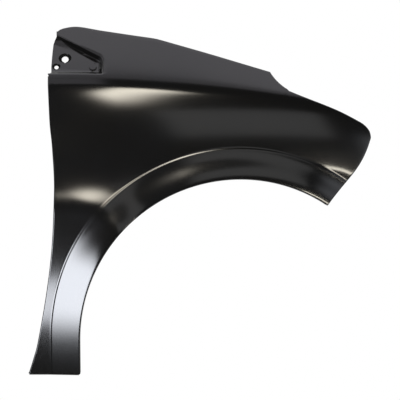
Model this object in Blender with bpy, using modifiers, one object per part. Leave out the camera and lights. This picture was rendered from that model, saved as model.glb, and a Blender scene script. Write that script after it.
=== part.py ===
"""Right-hand front fender of a small hatchback, pressed from one steel sheet.

The shape is drawn in millimetres from the wheel centre: X forward, Y inboard
and Z up, so the painted side faces -Y. The skin is one loft over the wheel
arch. Its outline is drawn in side view, and skin_depth gives how far inboard
each point lies. Folded edges, bolt seats and holes are added to that sheet.
The panel is then moved so that the world origin lies on the flat mounting pad
at its rear upper corner, on the face that bolts to the body.
"""
import math

import bmesh
import bpy
from mathutils import Matrix, Vector

MM = 0.001

# Sheet and wheel arch
SHEET = 0.8
ARCH_RADIUS = 345.0
BAND_WIDTH = 67.0
BAND_FLARE = 0.2
BAND_STEP = 1.2
CREASE_SOFTNESS = 1.0
LEG_BAND_START = 135.0
LEG_BAND_FULL = 160.0
BAND_EASE_ANGLE = 131.0
BAND_EASE_SPAN = 11.0
BAND_EASE_SHARE = 0.6
LEG_BAND_TRIM = 5.3

# Foot and rear edge. Each pair is a height above the wheel centre and how far
# the edge lies behind the crease line there.
FOOT_DROP = 74.0
REAR_EDGE = [(-74, 50), (-37, 38), (0, 28), (104, 9), (206, -3), (322, -7),
             (411, -2), (462, 4), (514, 7.5), (574, 11)]
LEG_TUCK_HEIGHT = 250.0
LEG_TUCK_RADIUS = 1500.0
HAUNCH_HEIGHT = 312.0
HAUNCH_SLOPE = 0.235
HAUNCH_RISE = 60.0
HAUNCH_FALL = 50.0
HAUNCH_START = 112.0
HAUNCH_FULL = 140.0

# Shoulder, which runs from the rear corner forward to the notch
SHOULDER_RISE = 229.0
SHOULDER_HEIGHT = ARCH_RADIUS + SHOULDER_RISE
SHOULDER_LENGTH = 519.0
SHOULDER_FALL = 31.0
SHOULDER_SLOPE = 0.56
SHOULDER_BEND = 5.5
SHOULDER_DROP = 22.0
CROWN_SLOPE = 0.34
CROWN_BEND = 38.0
CROWN_DROP = 62.0
NOSE_SWEEP = 105.0
SWEEP_POWER = 2.6
REAR_TURN_LENGTH = 155.0
REAR_TURN_DEPTH = 9.5
REAR_TURN_START = 380.0
REAR_TURN_RISE = 120.0

# Soft line above the front end of the crease, from which the skin turns down
NOSE_TUCK_START = 68.0
NOSE_TUCK_SPAN = 14.0
NOSE_TUCK_RISE = 20.0
NOSE_TUCK_SLOPE = 0.14
NOSE_TUCK_SOFTNESS = 3.0

# Top edge, as distance forward of the rear corner and height above it
TOP_EDGE = [(13, 98), (26, 105.5), (58, 109.8), (111, 100.5), (181, 89.5),
            (222, 83.5), (239, 80), (287, 66), (357, 45.5), (427, 24.5), (483, 8)]
NOTCH_HOLLOW = 3.6

# Headlight edge, as distance forward of the notch end and height below it
HEADLIGHT_EDGE = [(0, 0), (13, 6), (47, 19.5), (82, 33), (118, 48), (153, 65.5),
                  (171, 76), (183, 90), (186.5, 105)]
BUMPER_BOW = 10.4

# Pocket at the rear upper corner, measured from the rear corner
POCKET_LENGTH = 122.0
POCKET_ROOF_REAR = 89.5
POCKET_ROOF_FALL = 61.0
POCKET_DEPTH = 17.0
SILL_WIDTH = 5.0
ROOF_WIDTH = 11.0
END_WIDTH = 14.0
PAD_SLOPE = 0.87

# Rear edge of the pad, as height above the rear corner and distance forward
PAD_EDGE = [(0, 0), (2, 6.5), (17, 6), (44, 6.2), (69, 7.3), (76, 8.8), (83, 12.7),
            (90.5, 13.7), (98, 13)]

# Bolt seats in the pad, forward of and above the rear corner
SEAT_TILT = 24.0
SEAT_SINK = 1.5
MAIN_SEAT = (34.5, 36.5)
MAIN_SEAT_RADIUS = 14.0
MAIN_BOLT_RADIUS = 7.4
KEYWAY_WIDTH = 3.4
KEYWAY_REACH = 9.6
SMALL_SEAT = (17.0, 17.0)
SMALL_SEAT_RADIUS = 8.8
SMALL_BOLT_RADIUS = 4.6
BOSS = (96.5, 13.5)
BOSS_RADIUS = 8.4
BOSS_TOP_RADIUS = 6.4
BOSS_HEIGHT = 2.0
PIP = (100.5, 23.5)
PIP_RADIUS = 1.8
PAD_POINT = (66.0, 28.0)

# Folded edges
BEND_RADIUS = 2.5
ARCH_FLANGE = 18.0
REAR_FLANGE = 13.0
FRONT_FLANGE = 13.0
FOOT_FLANGE = 22.0
RAIL_BEND = 3.0
RAIL_DROP = 20.0
RAIL_SHELF = 24.0
RAIL_PAD_LENGTH = 70.0
RAIL_PADS = [60.0, 225.0, 400.0]
BOLT_HOLE_RADIUS = 4.5
CLIP_HOLE_RADIUS = 3.2
ARCH_CLIPS = 6
FRONT_CLIPS = 6
REAR_CLIPS = 2
CORNER_GAP = 6.0
SLOT_LENGTH = 8.0

# Mesh counts
LEG_COLUMNS = 4
REAR_COLUMNS = 20
POCKET_COLUMNS = 5
SHOULDER_COLUMNS = 16
FRONT_COLUMNS = 10
NOSE_GROUPING = 1.4
SIDE_ROWS = 11
PAD_ROWS = 3
ROOF_ROWS = 3
WALL_STEPS = 5
BEND_STEPS = 3
BAND_SHARES = [0.0, 0.2, 0.4, 0.58, 0.76, 0.92, 0.97, 1.0]
SEAT_SIDES = 26
HOLE_SIDES = 14
CURVE_SAMPLES = 300

DOWN = Vector((0, 0, -1))
INBOARD = Vector((0, 1, 0))


# Curves and ramps

def ease(t):
    """Smooth step from 0 to 1."""
    t = min(max(t, 0.0), 1.0)
    return t * t * (3 - 2 * t)


def switch(t):
    """Logistic step from 0 to 1, half way at t = 0."""
    return 1 / (1 + math.exp(-max(min(t, 60.0), -60.0)))


def soft_corner(t):
    """Zero for very negative t, t for large t, with a round corner between."""
    return t if t > 30 else math.log1p(math.exp(t))


def lerp(a, b, t):
    return a + (b - a) * t


def spline(points, t):
    """Catmull-Rom curve through points, with t from 0 to 1 point by point."""
    last = len(points) - 1
    place = min(max(t, 0.0), 1.0) * last
    k = min(int(place), last - 1)
    f = place - k
    p1, p2 = Vector(points[k]), Vector(points[k + 1])
    p0 = Vector(points[k - 1]) if k > 0 else 2 * p1 - p2
    p3 = Vector(points[k + 2]) if k + 2 <= last else 2 * p2 - p1
    return 0.5 * (2 * p1 + (p2 - p0) * f + (2 * p0 - 5 * p1 + 4 * p2 - p3) * f * f
                  + (3 * p1 - p0 - 3 * p2 + p3) * f ** 3)


def spline_at(points, first):
    """Second coordinate of a curve where its first coordinate is given."""
    low, high = 0.0, 1.0
    for _ in range(30):
        mid = (low + high) / 2
        if spline(points, mid)[0] < first:
            low = mid
        else:
            high = mid
    return spline(points, low)[1]


def points_along(points, shares):
    """Points at the given shares of a curve's length, in rising order."""
    fine = [spline(points, k / CURVE_SAMPLES) for k in range(CURVE_SAMPLES + 1)]
    run = [0.0]
    for a, b in zip(fine, fine[1:]):
        run.append(run[-1] + (b - a).length)
    result = []
    k = 0
    for share in shares:
        goal = run[-1] * share
        while k < CURVE_SAMPLES - 1 and run[k + 1] < goal:
            k += 1
        result.append(lerp(fine[k], fine[k + 1], (goal - run[k]) / (run[k + 1] - run[k])))
    return result


# Outline in side view, as (x, z) pairs

def crease_radius(theta):
    """Radius of the crease round the arch, theta in degrees from forward."""
    return ARCH_RADIUS + BAND_WIDTH - LEG_BAND_TRIM * ease((theta - 140) / 40)


def rear_edge_x(z):
    return -crease_radius(180) - spline_at(REAR_EDGE, z)


CORNER = Vector((rear_edge_x(SHOULDER_HEIGHT), SHOULDER_HEIGHT))
POCKET_END = CORNER.x + POCKET_LENGTH


def shoulder_z(x):
    run = max(0.0, x - CORNER.x) / SHOULDER_LENGTH
    return SHOULDER_HEIGHT - SHOULDER_FALL * run ** 2


NOTCH_END = Vector((CORNER.x + SHOULDER_LENGTH, shoulder_z(CORNER.x + SHOULDER_LENGTH)))
HEADLIGHT = [(NOTCH_END.x + forward, NOTCH_END.y - below) for forward, below in HEADLIGHT_EDGE]
TOP = [(CORNER.x + forward, CORNER.y + above) for forward, above in TOP_EDGE]


# Depth of the skin, measured inboard

def section_depth(x, z):
    """Shoulder and crown: the panel leans inboard towards the bonnet."""
    above = z - shoulder_z(x)
    shoulder = soft_corner((above + SHOULDER_DROP) / SHOULDER_BEND)
    crown = soft_corner((above + CROWN_DROP) / CROWN_BEND)
    return SHOULDER_SLOPE * SHOULDER_BEND * shoulder + CROWN_SLOPE * CROWN_BEND * crown


def sweep_depth(x):
    """Plan view: the panel turns in towards the nose."""
    run = max(0.0, x - CORNER.x) / (HEADLIGHT[-1][0] - CORNER.x)
    return NOSE_SWEEP * run ** SWEEP_POWER


def arch_place(x, z):
    """Angle in degrees and radius about the arch, with a straight leg below it."""
    if z < 0:
        return 180.0, -x
    return math.degrees(math.atan2(z, x)), math.hypot(x, z)


def rear_turn_depth(x, z):
    """Along the shoulder the rear end turns in a little towards the door."""
    run = max(0.0, 1 - (x - CORNER.x) / REAR_TURN_LENGTH)
    return REAR_TURN_DEPTH * run ** 2 * ease((z - REAR_TURN_START) / REAR_TURN_RISE)


def flare_depth(x, z):
    """Band round the arch: a small step at the crease, then a flare to the edge.

    Over the wheel the flare is an S curve, and on the leg it is a straight slant.
    It is flatter between them, where the swell above the leg runs into the band.
    """
    theta, radius = arch_place(x, z)
    inside = crease_radius(theta) - radius
    run = min(max(inside / BAND_WIDTH, 0.0), 1.0)
    curved = BAND_WIDTH / math.pi * (1 - math.cos(math.pi * run))
    straight = CREASE_SOFTNESS * soft_corner(inside / CREASE_SOFTNESS)
    on_leg = ease((theta - LEG_BAND_START) / (LEG_BAND_FULL - LEG_BAND_START))
    step = BAND_STEP * switch(inside / CREASE_SOFTNESS)
    eased = math.exp(-((theta - BAND_EASE_ANGLE) / BAND_EASE_SPAN) ** 2)
    flare = BAND_FLARE * (1 - BAND_EASE_SHARE * eased)
    return -step - flare * lerp(curved, straight, on_leg)


def haunch_depth(x, z):
    """The panel swells out down to the leg and tucks in again towards the sill.

    Across the band the swell keeps the height that it has at the crease.
    """
    theta, radius = arch_place(x, z)
    share = ease((theta - HAUNCH_START) / (HAUNCH_FULL - HAUNCH_START))
    inside = crease_radius(theta) - radius
    on_band = CREASE_SOFTNESS * soft_corner(inside / CREASE_SOFTNESS)
    below = HAUNCH_HEIGHT - z - on_band * math.sin(math.radians(theta))
    if below < 0:
        swell = HAUNCH_RISE * math.exp(below / HAUNCH_RISE)
    else:
        run = min(below / HAUNCH_FALL, 1.0)
        swell = HAUNCH_RISE + HAUNCH_FALL * (run - run ** 3 + run ** 4 / 2)
    tuck = max(0.0, LEG_TUCK_HEIGHT - z) ** 2 / (2 * LEG_TUCK_RADIUS)
    return tuck - HAUNCH_SLOPE * swell * share


def nose_tuck_depth(x, z):
    """Between the soft line at the nose and the crease the skin faces down a little."""
    theta, radius = arch_place(x, z)
    rise = NOSE_TUCK_RISE * ease((NOSE_TUCK_START - theta) / NOSE_TUCK_SPAN)
    below_crease = crease_radius(theta) - radius
    line = soft_corner((below_crease + rise) / NOSE_TUCK_SOFTNESS)
    crease = soft_corner(below_crease / NOSE_TUCK_SOFTNESS)
    return NOSE_TUCK_SLOPE * NOSE_TUCK_SOFTNESS * (line - crease)


def plain_depth(x, z):
    body = section_depth(x, z) + sweep_depth(x) + rear_turn_depth(x, z)
    return body + flare_depth(x, z) + haunch_depth(x, z) + nose_tuck_depth(x, z)


def roof_z(x):
    """Height of the pocket's slanting upper edge."""
    return CORNER.y + POCKET_ROOF_REAR - POCKET_ROOF_FALL * (x - CORNER.x) / POCKET_LENGTH


ROOF_LEAN = math.hypot(1, POCKET_ROOF_FALL / POCKET_LENGTH)
PAD_MIDDLE_X = CORNER.x + POCKET_LENGTH / 2
PAD_MIDDLE_Z = (CORNER.y + roof_z(PAD_MIDDLE_X)) / 2
PAD_MIDDLE_DEPTH = plain_depth(PAD_MIDDLE_X, PAD_MIDDLE_Z) + POCKET_DEPTH
PAD_NORMAL = Vector((0, -1, PAD_SLOPE)).normalized()


def pad_depth(z):
    """The flat pad at the bottom of the pocket."""
    return PAD_MIDDLE_DEPTH + PAD_SLOPE * (z - PAD_MIDDLE_Z)


def pocket_share(x, z):
    """Zero on the skin around the pocket and one on its flat pad."""
    over_sill = ease((z - shoulder_z(x)) / SILL_WIDTH)
    under_roof = ease((roof_z(x) - z) / ROOF_LEAN / ROOF_WIDTH)
    before_end = ease((POCKET_END - x) / END_WIDTH)
    return over_sill * under_roof * before_end


def skin_depth(x, z):
    return lerp(plain_depth(x, z), pad_depth(z), pocket_share(x, z))


def skin_point(flat):
    return Vector((flat.x, skin_depth(flat.x, flat.y), flat.y))


def pad_point(place):
    """Point on the pad's painted face, forward of and above the rear corner."""
    z = CORNER.y + place[1]
    return Vector((CORNER.x + place[0], pad_depth(z), z))


# Columns of the skin. Each runs from the arch edge out to the panel's edge.

def outer_points():
    """Points round the outside of the side, each with the name of its edge."""
    heights = [-FOOT_DROP * (1 - k / LEG_COLUMNS) for k in range(LEG_COLUMNS)]
    heights += [SHOULDER_HEIGHT * k / REAR_COLUMNS for k in range(REAR_COLUMNS)]
    heights.append(SHOULDER_HEIGHT - CORNER_GAP)
    points = [(Vector((rear_edge_x(z), z)), "rear") for z in heights]
    points += [(Vector((x, shoulder_z(x))), "shoulder") for x in shoulder_places()]
    shares = [1 - (1 - k / FRONT_COLUMNS) ** NOSE_GROUPING
              for k in range(1, FRONT_COLUMNS + 1)]
    points += [(point, "headlight") for point in points_along(HEADLIGHT, shares)]
    return points


def shoulder_places():
    """X of the columns above the shoulder, close together at the pocket's end."""
    flat_end = POCKET_END - END_WIDTH
    places = [lerp(CORNER.x, flat_end, k / POCKET_COLUMNS) for k in range(POCKET_COLUMNS)]
    places += [lerp(flat_end, POCKET_END, k / WALL_STEPS) for k in range(WALL_STEPS)]
    places += [lerp(POCKET_END, NOTCH_END.x, k / SHOULDER_COLUMNS)
               for k in range(SHOULDER_COLUMNS + 1)]
    return places


def side_column(outer, edge, front_share):
    """Side-view points of one column, from the arch edge towards the outer point.

    edge is where it stops, which is short of the outline on a folded edge.
    """
    if outer.y < 0:
        arch = Vector((-ARCH_RADIUS - BEND_RADIUS, outer.y))
        crease = Vector((-crease_radius(180), outer.y))
    else:
        direction = outer.normalized()
        theta = math.degrees(math.atan2(outer.y, outer.x))
        arch = direction * (ARCH_RADIUS + BEND_RADIUS)
        crease = direction * crease_radius(theta)
    away = (outer - crease).normalized()
    flats = [lerp(arch, crease, share) for share in BAND_SHARES]
    flats.append(crease + away * CREASE_SOFTNESS * 2)
    start = crease + away * CREASE_SOFTNESS * 5
    flats += [lerp(start, edge, 1 - (1 - k / SIDE_ROWS) ** 1.5) for k in range(SIDE_ROWS + 1)]
    forward = Vector((away.y, -away.x))
    length = (outer - arch).length
    for k, flat in enumerate(flats):
        place = min((flat - arch).length / length, 1.0)
        bow = BUMPER_BOW * math.sin(math.pi * place ** 1.5)
        flats[k] = flat + forward * bow * front_share
    return flats


def roof_row_point(x):
    """Continues the pocket's roof line forward of the pocket to the notch."""
    share = (x - POCKET_END) / (NOTCH_END.x - POCKET_END)
    start = Vector((POCKET_END, roof_z(POCKET_END)))
    end = lerp(NOTCH_END, Vector(TOP[-1]), 0.45)
    point = lerp(start, end, share)
    sag = 0.22 * (start.y - end.y) * math.sin(math.pi * share ** 0.6)
    return point - Vector((0, sag))


def upper_shares(height, spread):
    """Where the rows lie between the shoulder and the pocket's roof line."""
    low = SILL_WIDTH / height
    high = 1 - ROOF_WIDTH * ROOF_LEAN / height
    shares = [low * k / WALL_STEPS for k in range(1, WALL_STEPS + 1)]
    shares += [lerp(low, high, k / (PAD_ROWS + 1)) for k in range(1, PAD_ROWS + 1)]
    shares += [lerp(high, 1.0, k / WALL_STEPS) for k in range(WALL_STEPS + 1)]
    even = [k / len(shares) for k in range(1, len(shares) + 1)]
    return [lerp(a, b, spread) for a, b in zip(shares, even)]


def upper_column(x, front_steps):
    """Side-view points above the shoulder, up to the top edge."""
    sill = Vector((x, shoulder_z(x)))
    if x <= POCKET_END:
        share = (x - CORNER.x) / POCKET_LENGTH
        roof = Vector((x, roof_z(x)))
        crest_x = lerp(TOP[0][0], POCKET_END, share)
        spread = 0.0
    else:
        share = (x - POCKET_END) / (NOTCH_END.x - POCKET_END)
        roof = roof_row_point(x)
        crest_x = lerp(POCKET_END, TOP[-1][0], share)
        spread = ease(share / 0.4)
    flats = [lerp(sill, roof, step) for step in upper_shares((roof - sill).length, spread)]
    rear_share = max(0.0, 1 - (x - CORNER.x) / (POCKET_LENGTH - END_WIDTH)) ** 2
    for flat in flats:
        flat.x += spline_at(PAD_EDGE, flat.y - CORNER.y) * rear_share
    crest = Vector((crest_x, spline_at(TOP, crest_x) - RAIL_BEND / 3))
    flats += [lerp(flats[-1], crest, k / ROOF_ROWS) for k in range(1, ROOF_ROWS + 1)]
    front_share = max(0.0, 1 - front_steps / 4)
    chord = crest - sill
    hollow = Vector((-chord.y, chord.x)).normalized() * NOTCH_HOLLOW * front_share
    for k, flat in enumerate(flats):
        place = min((flat - sill).length / chord.length, 1.0)
        flats[k] = flat + hollow * 4 * place * (1 - place)
    return flats


# Sheet

def add_faces(bm, near, far):
    """Quads between two rows of vertices."""
    for k in range(min(len(near), len(far)) - 1):
        bm.faces.new((near[k], near[k + 1], far[k + 1], far[k]))


def fold(bm, edge, inner, radius, reach, goal, square=True):
    """Bends the sheet over along a row of vertices towards a direction.

    inner gives a place on the sheet behind each vertex, and reach the length of
    the flat part from the point where the bend ends. A square fold stays square
    to the edge; otherwise it goes exactly towards the goal. Returns the first
    and last row of the flat part.
    """
    last = len(edge) - 1
    rows = [[] for _ in range(BEND_STEPS + 1)]
    for k, vert in enumerate(edge):
        along = (edge[min(k + 1, last)].co - edge[max(k - 1, 0)].co).normalized()
        away = vert.co - inner[k]
        turned = goal.copy()
        if square:
            away -= along * away.dot(along)
            turned -= along * turned.dot(along)
        away.normalize()
        turned.normalize()
        angle = away.angle(turned)
        side = (turned - away * math.cos(angle)).normalized()
        centre = vert.co + side * radius
        for step in range(BEND_STEPS):
            a = angle * (step + 1) / BEND_STEPS
            place = centre - side * radius * math.cos(a) + away * radius * math.sin(a)
            rows[step].append(bm.verts.new(place))
        rows[BEND_STEPS].append(bm.verts.new(place + turned * reach(place)))
    previous = edge
    for row in rows:
        add_faces(bm, previous, row)
        previous = row
    return rows[BEND_STEPS - 1], rows[BEND_STEPS]


def rail_level(x):
    """Height of the bonnet rail's shelf: flat at each pad, sloping between."""
    pads = [CORNER.x + place for place in RAIL_PADS]
    levels = [spline_at(TOP, pad) - RAIL_DROP for pad in pads]
    half = RAIL_PAD_LENGTH / 2
    for k in range(len(pads) - 1):
        if x < pads[k + 1] - half:
            start = pads[k] + half
            share = ease((x - start) / (pads[k + 1] - half - start))
            return lerp(levels[k], levels[k + 1], share)
    end = max(x, pads[-1] + half)
    return levels[-1] - spline_at(TOP, pads[-1] + half) + spline_at(TOP, end)


def outward(before, after):
    """Outward direction of the outline, which runs clockwise in side view."""
    along = after - before
    return Vector((-along.y, along.x)).normalized()


def build_skin(bm):
    """Side and upper skin. Returns the columns of each."""
    outers = outer_points()
    last = len(outers) - 1
    front_start = last - FRONT_COLUMNS
    sides = []
    uppers = []
    for i, (outer, kind) in enumerate(outers):
        edge = outer
        if i == 0:
            edge = outer + Vector((BEND_RADIUS, 0))
        elif kind != "shoulder" and i != last:
            edge = outer - outward(outers[i - 1][0], outers[i + 1][0]) * BEND_RADIUS
        front_share = max(0.0, (i - front_start) / FRONT_COLUMNS) ** 2
        flats = side_column(outer, edge, front_share)
        if i == 0:
            flats = [flat + Vector((0, BEND_RADIUS)) for flat in flats]
        if i == last:
            round_nose = [outers[-2][0]] + flats[::-1] + [2 * flats[0] - flats[1]]
            flats = [flat - outward(round_nose[k], round_nose[k + 2]) * BEND_RADIUS
                     for k, flat in enumerate(flats[::-1])][::-1]
        side = [bm.verts.new(skin_point(flat)) for flat in flats]
        sides.append(side)
        if kind == "shoulder":
            flats = upper_column(outer.x, front_start - i)
            uppers.append([side[-1]] + [bm.verts.new(skin_point(flat)) for flat in flats])
    for columns in (sides, uppers):
        for near, far in zip(columns, columns[1:]):
            add_faces(bm, near, far)
    return sides, uppers


def build_flanges(bm, sides, uppers):
    """Folds every edge that is folded on the panel. Returns their flat parts."""
    rear = sides[:LEG_COLUMNS + REAR_COLUMNS + 1]
    nose = sides[-FRONT_COLUMNS:-1]

    # The front flange runs along the headlight edge and on down the bumper edge.
    front = [c[-1] for c in nose] + sides[-1][::-1]
    behind_front = [c[-2] for c in nose] + [sides[-2][-2]] + sides[-2][-2::-1]
    crest = [c[-1] for c in uppers]
    below_crest = [c[-2] for c in uppers]

    def places(verts):
        return [vert.co.copy() for vert in verts]

    def square_fold(edge, inner, width):
        return fold(bm, edge, places(inner), BEND_RADIUS, lambda place: width, INBOARD)

    above_foot = [skin_point(Vector((vert.co.x, vert.co.z + FOOT_FLANGE)))
                  for vert in sides[0]]
    flats = {
        "arch": square_fold([c[0] for c in sides], [c[1] for c in sides], ARCH_FLANGE),
        "rear": square_fold([c[-1] for c in rear], [c[-2] for c in rear], REAR_FLANGE),
        "front": square_fold(front, behind_front, FRONT_FLANGE),
        "foot": fold(bm, sides[0], above_foot, BEND_RADIUS, lambda place: FOOT_FLANGE,
                     INBOARD, square=False),
    }
    bend_end, lip = fold(bm, crest, places(below_crest), RAIL_BEND,
                         lambda place: place.z - rail_level(place.x) - BEND_RADIUS,
                         DOWN, square=False)
    flats["rail"] = fold(bm, lip, places(bend_end), BEND_RADIUS, lambda place: RAIL_SHELF,
                         INBOARD, square=False)
    return flats


def build_panel(collection):
    """The pressed sheet, before its seats and holes are cut."""
    bm = bmesh.new()
    sides, uppers = build_skin(bm)
    flats = build_flanges(bm, sides, uppers)
    bm.normal_update()
    bmesh.ops.recalc_face_normals(bm, faces=bm.faces)
    if sum(face.normal.y * face.calc_area() for face in bm.faces) > 0:
        bmesh.ops.reverse_faces(bm, faces=bm.faces)
    places = {name: [[vert.co.copy() for vert in row] for row in rows]
              for name, rows in flats.items()}
    bmesh.ops.scale(bm, vec=(MM, MM, MM), verts=bm.verts)
    mesh = bpy.data.meshes.new("fender_panel")
    bm.to_mesh(mesh)
    bm.free()
    panel = bpy.data.objects.new("fender_panel", mesh)
    collection.objects.link(panel)
    solid = panel.modifiers.new("Sheet", "SOLIDIFY")
    solid.thickness = SHEET * MM
    solid.offset = -1
    solid.use_even_offset = True
    return panel, places


# Tools that press the seats and cut the holes

def tool(name, bm, collection):
    bm.normal_update()
    bmesh.ops.recalc_face_normals(bm, faces=bm.faces)
    bmesh.ops.scale(bm, vec=(MM, MM, MM), verts=bm.verts)
    mesh = bpy.data.meshes.new(name)
    bm.to_mesh(mesh)
    bm.free()
    obj = bpy.data.objects.new(name, mesh)
    obj.hide_render = True
    obj.display_type = "WIRE"
    collection.objects.link(obj)
    return obj


def add_round(bm, start, end, radius, sides, end_radius=None):
    """Adds a closed cylinder or cone between two points."""
    axis = end - start
    turn = axis.to_track_quat("Z", "Y").to_matrix().to_4x4()
    place = Matrix.Translation((start + end) / 2) @ turn
    return bmesh.ops.create_cone(bm, cap_ends=True, segments=sides, radius1=radius,
                                 radius2=radius if end_radius is None else end_radius,
                                 depth=axis.length, matrix=place)


def round_tool(name, start, end, radius, sides, collection, end_radius=None):
    bm = bmesh.new()
    add_round(bm, start, end, radius, sides, end_radius)
    return tool(name, bm, collection)


def seat_frame(place, radius):
    """Axis of a bolt seat and the centre of its floor, sunk flush at the top."""
    lean = math.radians(SEAT_TILT)
    axis = Vector((0, -math.cos(lean), math.sin(lean)))
    sink = radius * math.tan(math.atan(PAD_SLOPE) - lean) + SEAT_SINK
    return axis, pad_point(place) - axis * sink, sink


def seat_cup(name, place, radius, collection):
    """Solid cup that carries a seat, cut off in the middle of the pad's sheet."""
    axis, floor, sink = seat_frame(place, radius)
    bm = bmesh.new()
    add_round(bm, floor - axis * SHEET, floor + axis * 3 * sink, radius + SHEET, SEAT_SIDES)
    middle = pad_point(place) - PAD_NORMAL * SHEET / 2
    cut = bmesh.ops.bisect_plane(bm, geom=bm.verts[:] + bm.edges[:] + bm.faces[:],
                                 plane_co=middle, plane_no=PAD_NORMAL, clear_outer=True)
    rim = [item for item in cut["geom_cut"] if isinstance(item, bmesh.types.BMEdge)]
    bmesh.ops.contextual_create(bm, geom=rim)
    return tool(name, bm, collection)


def seat_cutters(name, place, radius, bolt_radius, collection):
    """Recess down to the seat's floor, and the bolt hole through it."""
    axis, floor, sink = seat_frame(place, radius)
    recess = round_tool(name + "_recess", floor, floor + axis * 3 * sink, radius, SEAT_SIDES,
                        collection)
    through = axis * 4 * SHEET
    hole = round_tool(name + "_hole", floor - through, floor + through, bolt_radius,
                      SEAT_SIDES, collection)
    return [recess, hole]


def keyway_cutter(collection):
    """Small notch below the main bolt hole."""
    axis, floor, _ = seat_frame(MAIN_SEAT, MAIN_SEAT_RADIUS)
    across = Vector((1, 0, 0))
    low = axis.cross(across).normalized()
    if low.z > 0:
        low = -low
    bm = bmesh.new()
    bmesh.ops.create_cube(bm, size=1)
    for vert in bm.verts:
        reach = KEYWAY_REACH if vert.co.z > 0 else 0.0
        vert.co = (floor + across * vert.co.x * KEYWAY_WIDTH + axis * vert.co.y * 8 * SHEET
                   + low * reach)
    return tool("keyway", bm, collection)


def boss_tools(collection):
    """Round locating boss pressed out of the pad, as a solid and its hollow."""
    centre = pad_point(BOSS)
    solid = round_tool("boss", centre - PAD_NORMAL * SHEET / 2,
                       centre + PAD_NORMAL * BOSS_HEIGHT, BOSS_RADIUS, SEAT_SIDES, collection,
                       end_radius=BOSS_TOP_RADIUS)
    hollow = round_tool("boss_hollow", centre - PAD_NORMAL * 2 * SHEET,
                        centre + PAD_NORMAL * (BOSS_HEIGHT - SHEET), BOSS_RADIUS - SHEET / 2,
                        SEAT_SIDES, collection, end_radius=BOSS_TOP_RADIUS - SHEET / 2)
    return solid, hollow


def flat_place(rows, share):
    """Centre and normal of a folded flat part, at a share of its length."""
    near, far = rows
    steps = [(b - a).length for a, b in zip(near, near[1:])]
    goal = share * sum(steps)
    k = 0
    while k < len(steps) - 1 and goal > steps[k]:
        goal -= steps[k]
        k += 1
    along = goal / steps[k]
    centre = (lerp(near[k], near[k + 1], along) + lerp(far[k], far[k + 1], along)) / 2
    normal = (far[k + 1] - near[k]).cross(far[k] - near[k + 1]).normalized()
    return centre, normal


def hole_cutter(name, centre, normal, radius, collection):
    reach = normal * 5 * SHEET
    return round_tool(name, centre - reach, centre + reach, radius, HOLE_SIDES, collection)


def flange_cutters(flats, collection):
    """Clip holes along the folded edges, and the slot in the foot."""
    cutters = []
    rows = (("arch", ARCH_CLIPS), ("rear", REAR_CLIPS), ("front", FRONT_CLIPS))
    for name, count in rows:
        for k in range(count):
            centre, normal = flat_place(flats[name], (k + 0.5) / count)
            cutters.append(hole_cutter(f"{name}_clip_{k + 1}", centre, normal,
                                       CLIP_HOLE_RADIUS, collection))
    near, far = flats["rail"]
    for k, pad in enumerate(RAIL_PADS):
        x = CORNER.x + pad
        after = next(n for n, place in enumerate(near) if place.x > x)
        share = (x - near[after - 1].x) / (near[after].x - near[after - 1].x)
        inner = lerp(near[after - 1], near[after], share)
        outer = lerp(far[after - 1], far[after], share)
        cutters.append(hole_cutter(f"rail_hole_{k + 1}", (inner + outer) / 2, DOWN,
                                   BOLT_HOLE_RADIUS, collection))
    centre, _ = flat_place(flats["foot"], 0.62)
    reach = DOWN * 5 * SHEET
    ends = [centre + Vector((SLOT_LENGTH / 2 * way, 0, 0)) for way in (-1, 1)]
    for k, end in enumerate(ends):
        cutters.append(round_tool(f"foot_slot_end_{k + 1}", end - reach, end + reach,
                                  BOLT_HOLE_RADIUS, HOLE_SIDES, collection))
    bm = bmesh.new()
    bmesh.ops.create_cube(bm, size=1)
    for vert in bm.verts:
        vert.co = centre + Vector((vert.co.x * SLOT_LENGTH, vert.co.y * 2 * BOLT_HOLE_RADIUS,
                                   vert.co.z * 10 * SHEET))
    cutters.append(tool("foot_slot_middle", bm, collection))
    return cutters


def add_boolean(panel, other, operation):
    step = panel.modifiers.new(other.name, "BOOLEAN")
    step.operation = operation
    step.object = other
    step.solver = "EXACT"


def paint():
    material = bpy.data.materials.new("black_primer")
    material.use_nodes = True
    shader = material.node_tree.nodes["Principled BSDF"]
    shader.inputs["Base Color"].default_value = (0.012, 0.012, 0.011, 1)
    shader.inputs["Roughness"].default_value = 0.3
    shader.inputs["Metallic"].default_value = 0.0
    return material


def main():
    for obj in list(bpy.data.objects):
        bpy.data.objects.remove(obj, do_unlink=True)
    parts = bpy.data.collections.new("fender")
    tools = bpy.data.collections.new("press_tools")
    for collection in (parts, tools):
        bpy.context.scene.collection.children.link(collection)

    panel, flats = build_panel(parts)
    panel.data.materials.append(paint())

    boss, boss_hollow = boss_tools(tools)
    solids = [seat_cup("main_seat", MAIN_SEAT, MAIN_SEAT_RADIUS, tools),
              seat_cup("small_seat", SMALL_SEAT, SMALL_SEAT_RADIUS, tools), boss]
    cutters = seat_cutters("main", MAIN_SEAT, MAIN_SEAT_RADIUS, MAIN_BOLT_RADIUS, tools)
    cutters += seat_cutters("small", SMALL_SEAT, SMALL_SEAT_RADIUS, SMALL_BOLT_RADIUS, tools)
    cutters += [keyway_cutter(tools), boss_hollow,
                hole_cutter("pip", pad_point(PIP), PAD_NORMAL, PIP_RADIUS, tools)]
    cutters += flange_cutters(flats, tools)
    for solid in solids:
        add_boolean(panel, solid, "UNION")
    for cutter in cutters:
        add_boolean(panel, cutter, "DIFFERENCE")

    # The origin goes to the pad's inner face, which bolts to the body.
    origin = bpy.data.objects.new("mounting_pad_frame", None)
    parts.objects.link(origin)
    origin.location = -(pad_point(PAD_POINT) - PAD_NORMAL * SHEET) * MM
    for obj in [panel] + list(tools.objects):
        obj.parent = origin


main()
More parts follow.
